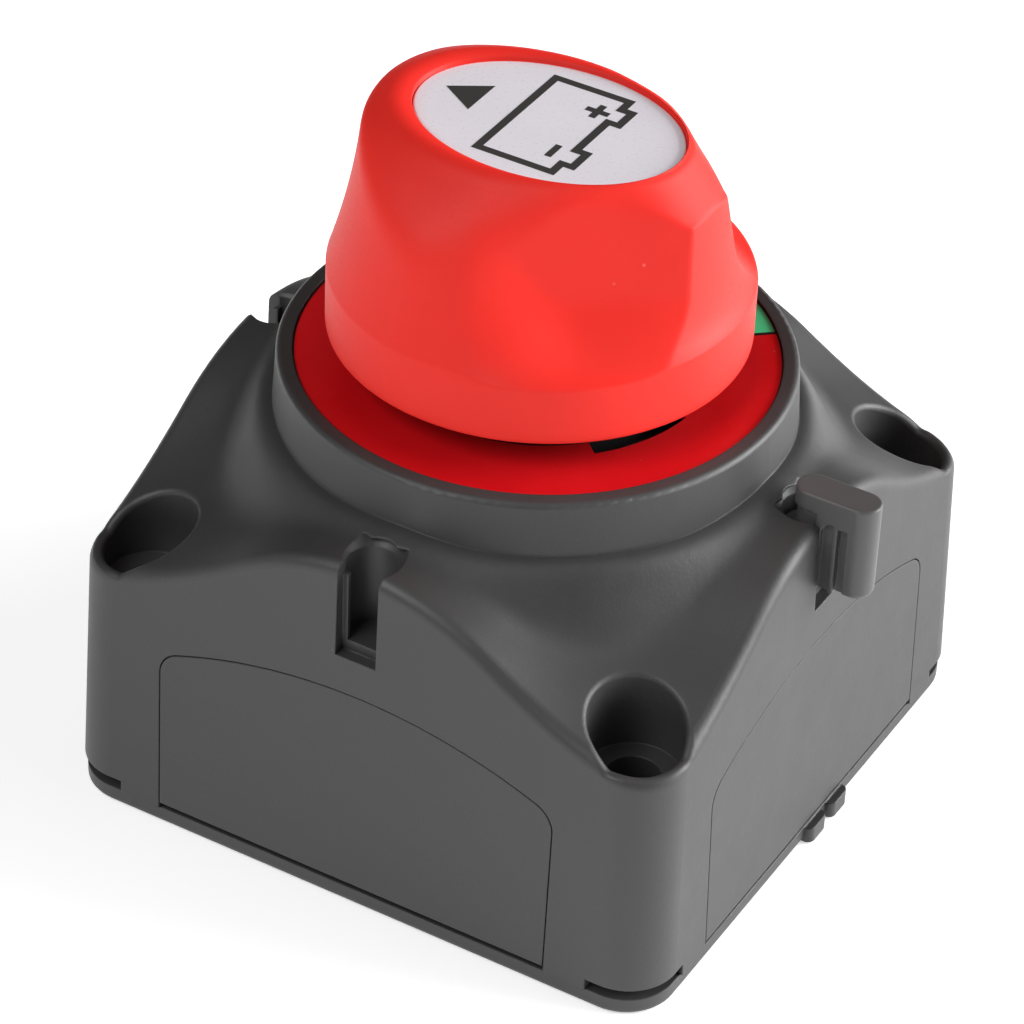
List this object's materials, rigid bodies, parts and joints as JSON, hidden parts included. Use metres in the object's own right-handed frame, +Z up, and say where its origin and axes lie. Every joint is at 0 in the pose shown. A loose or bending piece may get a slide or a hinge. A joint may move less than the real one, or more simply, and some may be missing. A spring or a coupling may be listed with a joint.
{
  "type": "battery switch",
  "caption": "Square surface-mount rotary battery switch with an arched dark housing, round red and green dial, red scooped knob on a bayonet rotor, and a small link key in a side slot.",
  "frame": {"origin": "centre of the underside, on the mounting surface", "axes": "+Z up from the mounting surface along the knob's turning axis; side faces square to X and Y; knob pointer towards -X at OFF"},
  "size_m": [0.0731, 0.069, 0.0747],
  "materials": {
    "housing_plastic": "fine moulded grain",
    "panel_plastic": "fine moulded grain",
    "black_plastic": "satin",
    "carrier_plastic": "glass-filled nylon, satin",
    "key_plastic": "satin",
    "knob_plastic": "semi-matte",
    "knob_print": "glossy printed label",
    "dial_print": "satin printed label",
    "seal_rubber": "matte",
    "steel": "satin",
    "tinned_copper": "satin tin plate over copper",
    "silver_contact": "satin silver alloy"
  },
  "bodies": {
    "base": {"housing": "housing_plastic", "base_plate": "housing_plastic", "side_panel_front": "panel_plastic", "side_panel_right": "panel_plastic", "side_panel_back": "panel_plastic", "side_panel_left": "panel_plastic", "base_screws": "steel", "bayonet_plate": "black_plastic", "dial_label": "dial_print", "contact_carrier": "carrier_plastic", "carrier_gasket": "seal_rubber", "carrier_screws": "steel", "stud_supply": "tinned_copper", "stud_load": "tinned_copper", "stud_seals": "seal_rubber", "fixed_contacts": "silver_contact", "clamp_nuts": "steel", "flat_washers": "steel", "spring_washers": "steel", "terminal_nuts": "steel"},
    "rotor": {"rotor": "carrier_plastic", "rotor_seal": "seal_rubber", "rotor_clip": "steel", "contact_bridge": "tinned_copper", "bridge_contacts": "silver_contact", "bridge_spring": "steel"},
    "knob": {"knob": "knob_plastic", "knob_insert": "black_plastic", "insert_screws": "steel", "knob_label": "knob_print"},
    "key": {"link_key": "key_plastic"}
  },
  "joints": [
    {"name": "knob_turn", "type": "hinge", "parent": "base", "child": "rotor", "pos_m": [0, 0, 0.0395], "axis": [0, 0, -1], "range_deg": [0, 90]},
    {"name": "knob_lift", "type": "slide", "parent": "rotor", "child": "knob", "axis": [0, 0, 1], "range_m": [0, 0.03]},
    {"name": "key_lift", "type": "slide", "parent": "base", "child": "key", "axis": [0, 0, 1], "range_m": [0, 0.014]}
  ]
}
